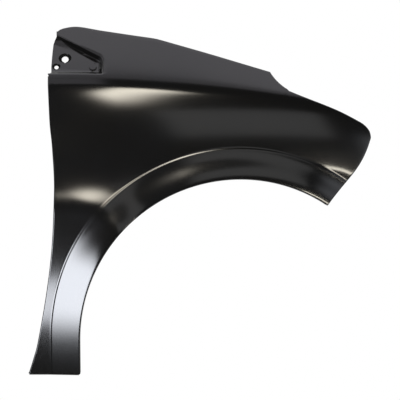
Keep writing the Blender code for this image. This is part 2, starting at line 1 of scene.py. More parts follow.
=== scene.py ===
"""Looks of the right-hand fender: a finely meshed copy of the pressed panel in
satin black primer, in a pale studio, seen as in the photograph.

The panel is drawn in millimetres from the wheel centre, with the same driving
sizes as the CAD source: X forward, Y inboard and Z up. TO_ROW then moves it so
that the origin lies on the mounting pad's inner face, in metres.
"""
import math

import bmesh
import bpy
from mathutils import Matrix, Quaternion, Vector


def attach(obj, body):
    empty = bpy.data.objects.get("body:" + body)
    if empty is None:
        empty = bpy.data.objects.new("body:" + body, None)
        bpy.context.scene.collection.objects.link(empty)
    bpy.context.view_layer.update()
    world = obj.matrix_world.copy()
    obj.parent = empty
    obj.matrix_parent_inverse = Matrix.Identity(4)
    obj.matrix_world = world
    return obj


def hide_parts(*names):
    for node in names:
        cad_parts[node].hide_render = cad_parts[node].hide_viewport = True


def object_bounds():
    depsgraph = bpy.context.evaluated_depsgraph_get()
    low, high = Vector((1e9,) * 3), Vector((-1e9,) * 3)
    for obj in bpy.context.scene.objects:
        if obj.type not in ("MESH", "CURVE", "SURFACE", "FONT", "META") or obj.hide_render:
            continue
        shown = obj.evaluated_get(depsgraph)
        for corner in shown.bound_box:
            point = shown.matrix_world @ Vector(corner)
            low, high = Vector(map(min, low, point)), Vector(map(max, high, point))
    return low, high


MM = 0.001

# Sheet and wheel arch
SHEET = 0.8
ARCH_RADIUS = 345.0
BAND_WIDTH = 67.0
BAND_FLARE = 0.2
BAND_STEP = 1.2
CREASE_SOFTNESS = 1.0
LEG_BAND_START = 135.0
LEG_BAND_FULL = 160.0
BAND_EASE_ANGLE = 131.0
BAND_EASE_SPAN = 11.0
BAND_EASE_SHARE = 0.6
LEG_BAND_TRIM = 5.3
LEG_TRIM_START = 140.0
LEG_TRIM_SPAN = 40.0

# Foot and rear edge. Each pair is a height above the wheel centre and how far
# the edge lies behind the crease line there.
FOOT_DROP = 74.0
REAR_EDGE = [(-74, 50), (-37, 38), (0, 28), (104, 9), (206, -3), (322, -7),
             (411, -2), (462, 4), (514, 7.5), (574, 11)]
LEG_TUCK_HEIGHT = 250.0
LEG_TUCK_RADIUS = 1500.0
HAUNCH_HEIGHT = 312.0
HAUNCH_SLOPE = 0.235
HAUNCH_RISE = 60.0
HAUNCH_FALL = 50.0
HAUNCH_START = 112.0
HAUNCH_FULL = 140.0

# Shoulder, which runs from the rear corner forward to the notch
SHOULDER_RISE = 229.0
SHOULDER_HEIGHT = ARCH_RADIUS + SHOULDER_RISE
SHOULDER_LENGTH = 519.0
SHOULDER_FALL = 31.0
SHOULDER_SLOPE = 0.56
SHOULDER_BEND = 5.5
SHOULDER_DROP = 22.0
CROWN_SLOPE = 0.34
CROWN_BEND = 38.0
CROWN_DROP = 62.0
NOSE_SWEEP = 105.0
SWEEP_POWER = 2.6
REAR_TURN_LENGTH = 155.0
REAR_TURN_DEPTH = 9.5
REAR_TURN_START = 380.0
REAR_TURN_RISE = 120.0

# Soft line above the front end of the crease, from which the skin turns down
NOSE_TUCK_START = 68.0
NOSE_TUCK_SPAN = 14.0
NOSE_TUCK_RISE = 20.0
NOSE_TUCK_SLOPE = 0.14
NOSE_TUCK_SOFTNESS = 3.0

# Top edge, as distance forward of the rear corner and height above it
TOP_EDGE = [(13, 98), (26, 105.5), (58, 109.8), (111, 100.5), (181, 89.5),
            (222, 83.5), (239, 80), (287, 66), (357, 45.5), (427, 24.5), (483, 8)]
NOTCH_HOLLOW = 3.6

# Headlight edge, as distance forward of the notch end and height below it
HEADLIGHT_EDGE = [(0, 0), (13, 6), (47, 19.5), (82, 33), (118, 48), (153, 65.5),
                  (171, 76), (183, 90), (186.5, 105)]
BUMPER_BOW = 10.4
BUMPER_BOW_POWER = 1.5

# Pocket at the rear upper corner, measured from the rear corner
POCKET_LENGTH = 122.0
POCKET_ROOF_REAR = 99.0
POCKET_ROOF_FALL = 64.0
POCKET_DEPTH = 17.0
SILL_WIDTH = 5.0
ROOF_WIDTH = 11.0
END_WIDTH = 14.0
PAD_SLOPE = 0.87

# Row of vertices that carries the pocket's roof line on to the notch: how far up the
# notch it ends, and its sag as a share of its fall
ROOF_ROW_END = 0.45
ROOF_ROW_SAG = 0.22
ROOF_ROW_POWER = 0.6
ROW_SPREAD_SHARE = 0.4

# Rear edge of the pad, as height above the rear corner and distance forward
PAD_EDGE = [(0, 0), (2, 6.5), (17, 6), (44, 6.2), (69, 7.3), (76, 8.8), (83, 12.7),
            (90.5, 13.7), (98, 13)]

# Bolt seats in the pad, forward of and above the rear corner
SEAT_TILT = 24.0
SEAT_SINK = 1.5
MAIN_SEAT = (34.5, 36.5)
MAIN_SEAT_RADIUS = 14.0
MAIN_BOLT_RADIUS = 7.4
KEYWAY_WIDTH = 3.4
KEYWAY_REACH = 9.6
SMALL_SEAT = (17.0, 17.0)
SMALL_SEAT_RADIUS = 8.8
SMALL_BOLT_RADIUS = 4.6
BOSS = (96.5, 13.5)
BOSS_RADIUS = 8.4
BOSS_TOP_RADIUS = 7.0
BOSS_HEIGHT = 2.5
PIP = (100.5, 23.5)
PIP_RADIUS = 1.8
PIP_DEPTH = 0.5
PAD_POINT = (66.0, 28.0)

# Folded edges
BEND_RADIUS = 2.5
ARCH_FLANGE = 18.0
REAR_FLANGE = 13.0
FRONT_FLANGE = 13.0
FOOT_FLANGE = 22.0
RAIL_BEND = 3.0
RAIL_DROP = 20.0
RAIL_SHELF = 24.0
RAIL_PAD_LENGTH = 70.0
RAIL_PADS = [60.0, 225.0, 400.0]
BOLT_HOLE_RADIUS = 4.5
CLIP_HOLE_RADIUS = 3.2
ARCH_CLIPS = 6
FRONT_CLIPS = 6
REAR_CLIPS = 2
CORNER_GAP = 6.0
SLOT_LENGTH = 8.0
SLOT_SHARE = 0.62
SEAT_REACH = 4 * SHEET
HOLE_REACH = 5 * SHEET

# Mesh counts
LEG_COLUMNS = 12
REAR_COLUMNS = 64
POCKET_COLUMNS = 14
SHOULDER_COLUMNS = 48
FRONT_COLUMNS = 30
NOTCH_COLUMNS = 12
BAND_ROWS = 16
CREASE_ROWS = 12
CREASE_REACH = 9.0
SIDE_ROWS = 34
SIDE_GROUPING = 1.25
PAD_ROWS = 8
ROOF_ROWS = 8
WALL_STEPS = 9
BEND_STEPS = 6
SEAT_SIDES = 64
HOLE_SIDES = 32
CURVE_SAMPLES = 600
CURVE_HALVINGS = 30
SHARP_ANGLE = 32.0

# Camera, in millimetres from the wheel centre, with its range in metres
CAMERA_DISTANCE = 4000.0
FRAME_WIDTH = 854.0
FRAME_CENTRE = Vector((-88.6, 301.0))
SENSOR_WIDTH = 36.0
CAMERA_RANGE = 100.0

# Paint. The noise is used between the two values of NOISE_SPAN.
NOISE_SPAN = (0.3, 0.7)
PAINT_WARM = (0.0056, 0.0052, 0.0046)
PAINT_COOL = (0.0046, 0.0048, 0.0052)
PAINT_SPECULAR = 1.0
CLOUD_SCALE = 7.0
CLOUD_ROUGHNESS = (0.12, 0.15)
GRAIN_SCALE = 1400.0
GRAIN_ROUGHNESS = (-0.015, 0.02)
GRAIN_HEIGHT = 0.000004
PEEL_SCALE = 260.0
PEEL_HEIGHT = 0.00001

# Studio. The room is white behind the object and dim on the camera's side. Its centre
# is in millimetres, the other lengths are in metres, and the spans of the backdrop
# are parts of a unit direction.
STUDIO_CENTRE = Vector((-60, 0, 330))
LIGHT_DISTANCE = 6.0
BACKDROP_SPAN = (0.1, 0.5)
BACKDROP_RISE = (-0.6, 0.8)
BACKDROP_LOW = 0.1
ROOM_LEVEL = 0.03
FLOOR_RADIUS = 2.5
FLOOR_GAP = 1.9
FLOOR_SIDES = 96
FLOOR_COLOUR = (0.84, 0.84, 0.83)
FLOOR_ROUGHNESS = 0.9
FLOOR_SPECULAR = 0.1
FLOOR_FADE = (0.75, 2.375)
FLOOR_SPAN = (0.3, 1.5)
FLOOR_GLOW = 0.55
WARM = (1.0, 0.93, 0.79)
COOL = (0.9, 0.93, 1.0)
VIOLET = (0.95, 0.93, 1.0)
WHITE = (1.0, 1.0, 1.0)

# Name, azimuth, elevation, width, height and roll in degrees, share of the half
# width and height over which the edges fade, radiance, colour
SOFTBOXES = [
    ("key", 1.5, 35, 10.5, 20, -31, (0.8, 0.35), 10.5, WARM),
    ("low_left", -29, -7.5, 22, 26, -10, (0.3, 0.45), 11.5, COOL),
    ("low_middle", -10, -17.5, 19, 9, 0, (0.3, 0.3), 9.0, COOL),
    ("window", 25, 17.5, 35, 13, 8, (0.12, 0.12), 0.4, WHITE),
    ("front_strip", 42, -2, 14, 5, 0, (0.3, 0.3), 11.0, WARM),
    ("front_panel", 61, 8, 20, 14, 0, (0.3, 0.3), 0.7, COOL),
    ("side_panel", -75, 35, 40, 40, 0, (0.5, 0.5), 0.7, VIOLET),
]

# Panels of one ceiling, side by side, in millimetres from the studio's centre: name,
# place, size, share of the half size over which the edges fade, radiance
CEILING_HEIGHT = 6000.0
CEILING = [
    ("ceiling", (1500, 608), (9000, 2276), (0.12, 0.06), 0.76),
    ("ceiling_front", (1500, -800), (9000, 540), (0.12, 0.15), 0.34),
    ("ceiling_corner", (-2225, -2400), (3550, 2660), (0.1, 0.2), 0.34),
]

DOWN = Vector((0, 0, -1))
INBOARD = Vector((0, 1, 0))


# Curves and ramps

def ease(t):
    """Smooth step from 0 to 1."""
    t = min(max(t, 0.0), 1.0)
    return t * t * (3 - 2 * t)


def switch(t):
    """Logistic step from 0 to 1, half way at t = 0."""
    return 1 / (1 + math.exp(-max(min(t, 60.0), -60.0)))


def soft_corner(t):
    """Zero for very negative t, t for large t, with a round corner between."""
    return t if t > 30 else math.log1p(math.exp(t))


def lerp(a, b, t):
    return a + (b - a) * t


def spline(points, t):
    """Catmull-Rom curve through points, with t from 0 to 1 point by point."""
    last = len(points) - 1
    place = min(max(t, 0.0), 1.0) * last
    k = min(int(place), last - 1)
    f = place - k
    p1, p2 = Vector(points[k]), Vector(points[k + 1])
    p0 = Vector(points[k - 1]) if k > 0 else 2 * p1 - p2
    p3 = Vector(points[k + 2]) if k + 2 <= last else 2 * p2 - p1
    return 0.5 * (2 * p1 + (p2 - p0) * f + (2 * p0 - 5 * p1 + 4 * p2 - p3) * f * f
                  + (3 * p1 - p0 - 3 * p2 + p3) * f ** 3)


def spline_at(points, first):
    """Second coordinate of a curve where its first coordinate is given."""
    low, high = 0.0, 1.0
    for _ in range(CURVE_HALVINGS):
        mid = (low + high) / 2
        if spline(points, mid)[0] < first:
            low = mid
        else:
            high = mid
    return spline(points, low)[1]


def points_along(points, shares):
    """Points at the given shares of a curve's length, in rising order."""
    fine = [spline(points, k / CURVE_SAMPLES) for k in range(CURVE_SAMPLES + 1)]
    run = [0.0]
    for a, b in zip(fine, fine[1:]):
        run.append(run[-1] + (b - a).length)
    result = []
    k = 0
    for share in shares:
        goal = run[-1] * share
        while k < CURVE_SAMPLES - 1 and run[k + 1] < goal:
            k += 1
        result.append(lerp(fine[k], fine[k + 1], (goal - run[k]) / (run[k + 1] - run[k])))
    return result


# Outline in side view, as (x, z) pairs

def crease_radius(theta):
    """Radius of the crease round the arch, theta in degrees from forward."""
    trim = LEG_BAND_TRIM * ease((theta - LEG_TRIM_START) / LEG_TRIM_SPAN)
    return ARCH_RADIUS + BAND_WIDTH - trim


def rear_edge_x(z):
    return -crease_radius(180) - spline_at(REAR_EDGE, z)


CORNER = Vector((rear_edge_x(SHOULDER_HEIGHT), SHOULDER_HEIGHT))
POCKET_END = CORNER.x + POCKET_LENGTH


def shoulder_z(x):
    run = max(0.0, x - CORNER.x) / SHOULDER_LENGTH
    return SHOULDER_HEIGHT - SHOULDER_FALL * run ** 2


NOTCH_END = Vector((CORNER.x + SHOULDER_LENGTH, shoulder_z(CORNER.x + SHOULDER_LENGTH)))
HEADLIGHT = [(NOTCH_END.x + forward, NOTCH_END.y - below) for forward, below in HEADLIGHT_EDGE]
TOP = [(CORNER.x + forward, CORNER.y + above) for forward, above in TOP_EDGE]


# Depth of the skin, measured inboard

def section_depth(x, z):
    """Shoulder and crown: the panel leans inboard towards the bonnet."""
    above = z - shoulder_z(x)
    shoulder = soft_corner((above + SHOULDER_DROP) / SHOULDER_BEND)
    crown = soft_corner((above + CROWN_DROP) / CROWN_BEND)
    return SHOULDER_SLOPE * SHOULDER_BEND * shoulder + CROWN_SLOPE * CROWN_BEND * crown


def sweep_depth(x):
    """Plan view: the panel turns in towards the nose."""
    run = max(0.0, x - CORNER.x) / (HEADLIGHT[-1][0] - CORNER.x)
    return NOSE_SWEEP * run ** SWEEP_POWER


def arch_place(x, z):
    """Angle in degrees and radius about the arch, with a straight leg below it."""
    if z < 0:
        return 180.0, -x
    return math.degrees(math.atan2(z, x)), math.hypot(x, z)


def rear_turn_depth(x, z):
    """Along the shoulder the rear end turns in a little towards the door."""
    run = max(0.0, 1 - (x - CORNER.x) / REAR_TURN_LENGTH)
    return REAR_TURN_DEPTH * run ** 2 * ease((z - REAR_TURN_START) / REAR_TURN_RISE)


def flare_depth(x, z):
    """Band round the arch: a small step at the crease, then a flare to the edge.

    Over the wheel the flare is an S curve, and on the leg it is a straight slant.
    It is flatter between them, where the swell above the leg runs into the band.
    """
    theta, radius = arch_place(x, z)
    inside = crease_radius(theta) - radius
    run = min(max(inside / BAND_WIDTH, 0.0), 1.0)
    curved = BAND_WIDTH / math.pi * (1 - math.cos(math.pi * run))
    straight = CREASE_SOFTNESS * soft_corner(inside / CREASE_SOFTNESS)
    on_leg = ease((theta - LEG_BAND_START) / (LEG_BAND_FULL - LEG_BAND_START))
    step = BAND_STEP * switch(inside / CREASE_SOFTNESS)
    eased = math.exp(-((theta - BAND_EASE_ANGLE) / BAND_EASE_SPAN) ** 2)
    flare = BAND_FLARE * (1 - BAND_EASE_SHARE * eased)
    return -step - flare * lerp(curved, straight, on_leg)


def haunch_depth(x, z):
    """The panel swells out down to the leg and tucks in again towards the sill.

    Across the band the swell keeps the height that it has at the crease.
    """
    theta, radius = arch_place(x, z)
    share = ease((theta - HAUNCH_START) / (HAUNCH_FULL - HAUNCH_START))
    inside = crease_radius(theta) - radius
    on_band = CREASE_SOFTNESS * soft_corner(inside / CREASE_SOFTNESS)
    below = HAUNCH_HEIGHT - z - on_band * math.sin(math.radians(theta))
    if below < 0:
        swell = HAUNCH_RISE * math.exp(below / HAUNCH_RISE)
    else:
        run = min(below / HAUNCH_FALL, 1.0)
        swell = HAUNCH_RISE + HAUNCH_FALL * (run - run ** 3 + run ** 4 / 2)
    tuck = max(0.0, LEG_TUCK_HEIGHT - z) ** 2 / (2 * LEG_TUCK_RADIUS)
    return tuck - HAUNCH_SLOPE * swell * share


def nose_tuck_depth(x, z):
    """Between the soft line at the nose and the crease the skin faces down a little."""
    theta, radius = arch_place(x, z)
    rise = NOSE_TUCK_RISE * ease((NOSE_TUCK_START - theta) / NOSE_TUCK_SPAN)
    below_crease = crease_radius(theta) - radius
    line = soft_corner((below_crease + rise) / NOSE_TUCK_SOFTNESS)
    crease = soft_corner(below_crease / NOSE_TUCK_SOFTNESS)
    return NOSE_TUCK_SLOPE * NOSE_TUCK_SOFTNESS * (line - crease)


def plain_depth(x, z):
    body = section_depth(x, z) + sweep_depth(x) + rear_turn_depth(x, z)
    return body + flare_depth(x, z) + haunch_depth(x, z) + nose_tuck_depth(x, z)


def roof_z(x):
    """Height of the pocket's slanting upper edge."""
    return CORNER.y + POCKET_ROOF_REAR - POCKET_ROOF_FALL * (x - CORNER.x) / POCKET_LENGTH


ROOF_LEAN = math.hypot(1, POCKET_ROOF_FALL / POCKET_LENGTH)
PAD_MIDDLE_X = CORNER.x + POCKET_LENGTH / 2
PAD_MIDDLE_Z = (CORNER.y + roof_z(PAD_MIDDLE_X)) / 2
PAD_MIDDLE_DEPTH = plain_depth(PAD_MIDDLE_X, PAD_MIDDLE_Z) + POCKET_DEPTH
PAD_NORMAL = Vector((0, -1, PAD_SLOPE)).normalized()


def pad_depth(z):
    """The flat pad at the bottom of the pocket."""
    return PAD_MIDDLE_DEPTH + PAD_SLOPE * (z - PAD_MIDDLE_Z)


def pocket_share(x, z):
    """Zero on the skin around the pocket and one on its flat pad."""
    over_sill = ease((z - shoulder_z(x)) / SILL_WIDTH)
    under_roof = ease((roof_z(x) - z) / ROOF_LEAN / ROOF_WIDTH)
    before_end = ease((POCKET_END - x) / END_WIDTH)
    return over_sill * under_roof * before_end


def skin_depth(x, z):
    return lerp(plain_depth(x, z), pad_depth(z), pocket_share(x, z))


def skin_point(flat):
    return Vector((flat.x, skin_depth(flat.x, flat.y), flat.y))


def pad_point(place):
    """Point on the pad's painted face, forward of and above the rear corner."""
    z = CORNER.y + place[1]
    return Vector((CORNER.x + place[0], pad_depth(z), z))


# Columns of the skin. Each runs from the arch edge out to the panel's edge.

def outer_points():
    """Points round the outside of the side, each with the name of its edge."""
    heights = [-FOOT_DROP * (1 - k / LEG_COLUMNS) for k in range(LEG_COLUMNS)]
    heights += [SHOULDER_HEIGHT * k / REAR_COLUMNS for k in range(REAR_COLUMNS)]
    heights.append(SHOULDER_HEIGHT - CORNER_GAP)
    points = [(Vector((rear_edge_x(z), z)), "rear") for z in heights]
    points += [(Vector((x, shoulder_z(x))), "shoulder") for x in shoulder_places()]
    shares = [k / FRONT_COLUMNS for k in range(1, FRONT_COLUMNS + 1)]
    points += [(point, "headlight") for point in points_along(HEADLIGHT, shares)]
    return points


def shoulder_places():
    """X of the columns above the shoulder, close together at the pocket's end."""
    flat_end = POCKET_END - END_WIDTH
    places = [lerp(CORNER.x, flat_end, k / POCKET_COLUMNS) for k in range(POCKET_COLUMNS)]
    places += [lerp(flat_end, POCKET_END, k / WALL_STEPS) for k in range(WALL_STEPS)]
    places += [lerp(POCKET_END, NOTCH_END.x, k / SHOULDER_COLUMNS)
               for k in range(SHOULDER_COLUMNS + 1)]
    return places


def side_column(outer, edge, front_share):
    """Side-view points of one column, from the arch edge towards the outer point.

    edge is where it stops, which is short of the outline on a folded edge.
    """
    if outer.y < 0:
        arch = Vector((-ARCH_RADIUS - BEND_RADIUS, outer.y))
        crease = Vector((-crease_radius(180), outer.y))
    else:
        direction = outer.normalized()
        theta = math.degrees(math.atan2(outer.y, outer.x))
        arch = direction * (ARCH_RADIUS + BEND_RADIUS)
        crease = direction * crease_radius(theta)
    away = (outer - crease).normalized()
    across = (crease - arch).normalized()
    low = crease - across * CREASE_REACH
    high = crease + away * CREASE_REACH
    flats = [lerp(arch, low, k / BAND_ROWS) for k in range(BAND_ROWS)]
    flats += [lerp(low, crease, k / CREASE_ROWS) for k in range(CREASE_ROWS)]
    flats += [lerp(crease, high, k / CREASE_ROWS) for k in range(CREASE_ROWS)]
    shares = [1 - (1 - k / SIDE_ROWS) ** SIDE_GROUPING for k in range(SIDE_ROWS + 1)]
    flats += [lerp(high, edge, share) for share in shares]
    forward = Vector((away.y, -away.x))
    length = (outer - arch).length
    for k, flat in enumerate(flats):
        place = min((flat - arch).length / length, 1.0)
        bow = BUMPER_BOW * math.sin(math.pi * place ** BUMPER_BOW_POWER)
        flats[k] = flat + forward * bow * front_share
    return flats


def roof_row_point(x):
    """Continues the pocket's roof line forward of the pocket to the notch."""
    share = (x - POCKET_END) / (NOTCH_END.x - POCKET_END)
    start = Vector((POCKET_END, roof_z(POCKET_END)))
    end = lerp(NOTCH_END, Vector(TOP[-1]), ROOF_ROW_END)
    point = lerp(start, end, share)
    sag = ROOF_ROW_SAG * (start.y - end.y) * math.sin(math.pi * share ** ROOF_ROW_POWER)
    return point - Vector((0, sag))


def upper_shares(height, spread):
    """Where the rows lie between the shoulder and the pocket's roof line."""
    low = SILL_WIDTH / height
    high = 1 - ROOF_WIDTH * ROOF_LEAN / height
    shares = [low * k / WALL_STEPS for k in range(1, WALL_STEPS + 1)]
    shares += [lerp(low, high, k / (PAD_ROWS + 1)) for k in range(1, PAD_ROWS + 1)]
    shares += [lerp(high, 1.0, k / WALL_STEPS) for k in range(WALL_STEPS + 1)]
    even = [k / len(shares) for k in range(1, len(shares) + 1)]
    return [lerp(a, b, spread) for a, b in zip(shares, even)]


def upper_column(x, front_steps):
    """Side-view points above the shoulder, up to the top edge."""
    sill = Vector((x, shoulder_z(x)))
    if x <= POCKET_END:
        share = (x - CORNER.x) / POCKET_LENGTH
        roof = Vector((x, roof_z(x)))
        crest_x = lerp(TOP[0][0], POCKET_END, share)
        spread = 0.0
    else:
        share = (x - POCKET_END) / (NOTCH_END.x - POCKET_END)
        roof = roof_row_point(x)
        crest_x = lerp(POCKET_END, TOP[-1][0], share)
        spread = ease(share / ROW_SPREAD_SHARE)
    flats = [lerp(sill, roof, step) for step in upper_shares((roof - sill).length, spread)]
    rear_share = max(0.0, 1 - (x - CORNER.x) / (POCKET_LENGTH - END_WIDTH)) ** 2
    for flat in flats:
        flat.x += spline_at(PAD_EDGE, flat.y - CORNER.y) * rear_share
    crest = Vector((crest_x, spline_at(TOP, crest_x) - RAIL_BEND / 3))
    flats += [lerp(flats[-1], crest, k / ROOF_ROWS) for k in range(1, ROOF_ROWS + 1)]
    front_share = max(0.0, 1 - front_steps / NOTCH_COLUMNS)
    chord = crest - sill
    hollow = Vector((-chord.y, chord.x)).normalized() * NOTCH_HOLLOW * front_share
    for k, flat in enumerate(flats):
        place = min((flat - sill).length / chord.length, 1.0)
        flats[k] = flat + hollow * 4 * place * (1 - place)
    return flats


TO_ROW = (Matrix.Scale(MM, 4)
          @ Matrix.Translation(PAD_NORMAL * SHEET - pad_point(PAD_POINT)))


# Sheet

def new_object(name, bm):
    """Object made of a shape that is drawn in millimetres from the wheel centre."""
    bm.transform(TO_ROW)
    mesh = bpy.data.meshes.new(name)
    bm.to_mesh(mesh)
    bm.free()
    obj = bpy.data.objects.new(name, mesh)
    bpy.context.scene.collection.objects.link(obj)
    return obj


def add_faces(bm, near, far):
    """Quads between two rows of vertices."""
    for k in range(min(len(near), len(far)) - 1):
        bm.faces.new((near[k], near[k + 1], far[k + 1], far[k]))


def fold(bm, edge, inner, radius, reach, goal, square=True):
    """Bends the sheet over along a row of vertices towards a direction.

    inner gives a place on the sheet behind each vertex, and reach the length of
    the flat part from the point where the bend ends. A square fold stays square
    to the edge; otherwise it goes exactly towards the goal. Returns the first
    and last row of the flat part.
    """
    last = len(edge) - 1
    rows = [[] for _ in range(BEND_STEPS + 1)]
    for k, vert in enumerate(edge):
        along = (edge[min(k + 1, last)].co - edge[max(k - 1, 0)].co).normalized()
        away = vert.co - inner[k]
        turned = goal.copy()
        if square:
            away -= along * away.dot(along)
            turned -= along * turned.dot(along)
        away.normalize()
        turned.normalize()
        angle = away.angle(turned)
        side = (turned - away * math.cos(angle)).normalized()
        centre = vert.co + side * radius
        for step in range(BEND_STEPS):
            a = angle * (step + 1) / BEND_STEPS
            place = centre - side * radius * math.cos(a) + away * radius * math.sin(a)
            rows[step].append(bm.verts.new(place))
        rows[BEND_STEPS].append(bm.verts.new(place + turned * reach(place)))
    previous = edge
    for row in rows:
        add_faces(bm, previous, row)
        previous = row
    return rows[BEND_STEPS - 1], rows[BEND_STEPS]


def rail_level(x):
    """Height of the bonnet rail's shelf: flat at each pad, sloping between."""
    pads = [CORNER.x + place for place in RAIL_PADS]
    levels = [spline_at(TOP, pad) - RAIL_DROP for pad in pads]
    half = RAIL_PAD_LENGTH / 2
    for k in range(len(pads) - 1):
        if x < pads[k + 1] - half:
            start = pads[k] + half
            share = ease((x - start) / (pads[k + 1] - half - start))
            return lerp(levels[k], levels[k + 1], share)
    end = max(x, pads[-1] + half)
    return levels[-1] - spline_at(TOP, pads[-1] + half) + spline_at(TOP, end)


def outward(before, after):
    """Outward direction of the outline, which runs clockwise in side view."""
    along = after - before
    return Vector((-along.y, along.x)).normalized()


def build_skin(bm):
    """Side and upper skin. Returns the columns of each."""
    outers = outer_points()
    last = len(outers) - 1
    front_start = last - FRONT_COLUMNS
    sides = []
    uppers = []
    for i, (outer, kind) in enumerate(outers):
        edge = outer
        if i == 0:
            edge = outer + Vector((BEND_RADIUS, 0))
        elif kind != "shoulder" and i != last:
            edge = outer - outward(outers[i - 1][0], outers[i + 1][0]) * BEND_RADIUS
        front_share = max(0.0, (i - front_start) / FRONT_COLUMNS) ** 2
        flats = side_column(outer, edge, front_share)
        if i == 0:
            flats = [flat + Vector((0, BEND_RADIUS)) for flat in flats]
        if i == last:
            round_nose = [outers[-2][0]] + flats[::-1] + [2 * flats[0] - flats[1]]
            flats = [flat - outward(round_nose[k], round_nose[k + 2]) * BEND_RADIUS
                     for k, flat in enumerate(flats[::-1])][::-1]
        side = [bm.verts.new(skin_point(flat)) for flat in flats]
        sides.append(side)
        if kind == "shoulder":
            flats = upper_column(outer.x, front_start - i)
            uppers.append([side[-1]] + [bm.verts.new(skin_point(flat)) for flat in flats])
    for columns in (sides, uppers):
        for near, far in zip(columns, columns[1:]):
            add_faces(bm, near, far)
    return sides, uppers


def build_flanges(bm, sides, uppers):
    """Folds every edge that is folded on the panel. Returns their flat parts."""
    rear = sides[:LEG_COLUMNS + REAR_COLUMNS + 1]
    nose = sides[-FRONT_COLUMNS:-1]

    # The front flange runs along the headlight edge and on down the bumper edge.
    front = [c[-1] for c in nose] + sides[-1][::-1]
    behind_front = [c[-2] for c in nose] + [sides[-2][-2]] + sides[-2][-2::-1]
    crest = [c[-1] for c in uppers]
    below_crest = [c[-2] for c in uppers]

    def places(verts):
        return [vert.co.copy() for vert in verts]

    def square_fold(edge, inner, width):
        return fold(bm, edge, places(inner), BEND_RADIUS, lambda place: width, INBOARD)

    above_foot = [skin_point(Vector((vert.co.x, vert.co.z + FOOT_FLANGE)))
                  for vert in sides[0]]
    flats = {
        "arch": square_fold([c[0] for c in sides], [c[1] for c in sides], ARCH_FLANGE),
        "rear": square_fold([c[-1] for c in rear], [c[-2] for c in rear], REAR_FLANGE),
        "front": square_fold(front, behind_front, FRONT_FLANGE),
        "foot": fold(bm, sides[0], above_foot, BEND_RADIUS, lambda place: FOOT_FLANGE,
                     INBOARD, square=False),
    }
    bend_end, lip = fold(bm, crest, places(below_crest), RAIL_BEND,
                         lambda place: place.z - rail_level(place.x) - BEND_RADIUS,
                         DOWN, square=False)
    flats["rail"] = fold(bm, lip, places(bend_end), BEND_RADIUS, lambda place: RAIL_SHELF,
                         INBOARD, square=False)
    return flats


def build_sheet():
    """The pressed sheet as a thick mesh, and the flat parts of its folded edges."""
    bm = bmesh.new()
    sides, uppers = build_skin(bm)
    flats = build_flanges(bm, sides, uppers)
    bm.normal_update()
    bmesh.ops.recalc_face_normals(bm, faces=bm.faces)
    if sum(face.normal.y * face.calc_area() for face in bm.faces) > 0:
        bmesh.ops.reverse_faces(bm, faces=bm.faces)
    places = {name: [[vert.co.copy() for vert in row] for row in rows]
              for name, rows in flats.items()}
    sheet = new_object("pressed_fender", bm)
    solid = sheet.modifiers.new("Sheet", "SOLIDIFY")
    solid.thickness = SHEET * MM
    solid.offset = -1
    solid.use_even_offset = True
    return sheet, places


# Tools that press the seats and cut the holes

def add_round(bm, start, end, radius, sides, end_radius=None):
    """Adds a closed cylinder or cone between two points."""
    axis = end - start
    turn = axis.to_track_quat("Z", "Y").to_matrix().to_4x4()
    place = Matrix.Translation((start + end) / 2) @ turn
    return bmesh.ops.create_cone(bm, cap_ends=True, segments=sides, radius1=radius,
                                 radius2=radius if end_radius is None else end_radius,
                                 depth=axis.length, matrix=place)


def seat_frame(place, radius):
    """Axis of a bolt seat and the centre of its floor, sunk flush at the top."""
    lean = math.radians(SEAT_TILT)
    axis = Vector((0, -math.cos(lean), math.sin(lean)))
    sink = radius * math.tan(math.atan(PAD_SLOPE) - lean) + SEAT_SINK
    return axis, pad_point(place) - axis * sink, sink


def add_seat_cup(bm, place, radius):
    """Solid cup that carries a seat, cut off in the middle of the pad's sheet."""
    axis, floor, sink = seat_frame(place, radius)
    cup = bmesh.new()
    add_round(cup, floor - axis * SHEET, floor + axis * 3 * sink, radius + SHEET, SEAT_SIDES)
    middle = pad_point(place) - PAD_NORMAL * SHEET / 2
    cut = bmesh.ops.bisect_plane(cup, geom=cup.verts[:] + cup.edges[:] + cup.faces[:],
                                 plane_co=middle, plane_no=PAD_NORMAL, clear_outer=True)
    rim = [item for item in cut["geom_cut"] if isinstance(item, bmesh.types.BMEdge)]
    bmesh.ops.contextual_create(cup, geom=rim)
    half = bpy.data.meshes.new("cup")
    cup.to_mesh(half)
    cup.free()
    bm.from_mesh(half)
    bpy.data.meshes.remove(half)


def add_seat_recess(bm, place, radius):
    axis, floor, sink = seat_frame(place, radius)
    add_round(bm, floor, floor + axis * 3 * sink, radius, SEAT_SIDES)


def add_seat_hole(bm, place, radius, bolt_radius):
    axis, floor, _ = seat_frame(place, radius)
    reach = axis * SEAT_REACH
    add_round(bm, floor - reach, floor + reach, bolt_radius, SEAT_SIDES)


def add_keyway(bm):
    """Small notch below the main bolt hole."""
    axis, floor, _ = seat_frame(MAIN_SEAT, MAIN_SEAT_RADIUS)
    across = Vector((1, 0, 0))
    low = axis.cross(across).normalized()
    if low.z > 0:
        low = -low
    for vert in bmesh.ops.create_cube(bm, size=1)["verts"]:
        reach = KEYWAY_REACH if vert.co.z > 0 else 0.0
        vert.co = (floor + across * vert.co.x * KEYWAY_WIDTH
                   + axis * vert.co.y * 2 * SEAT_REACH + low * reach)


def add_boss(bm):
    centre = pad_point(BOSS)
    add_round(bm, centre - PAD_NORMAL * SHEET / 2, centre + PAD_NORMAL * BOSS_HEIGHT,
              BOSS_RADIUS, SEAT_SIDES, end_radius=BOSS_TOP_RADIUS)


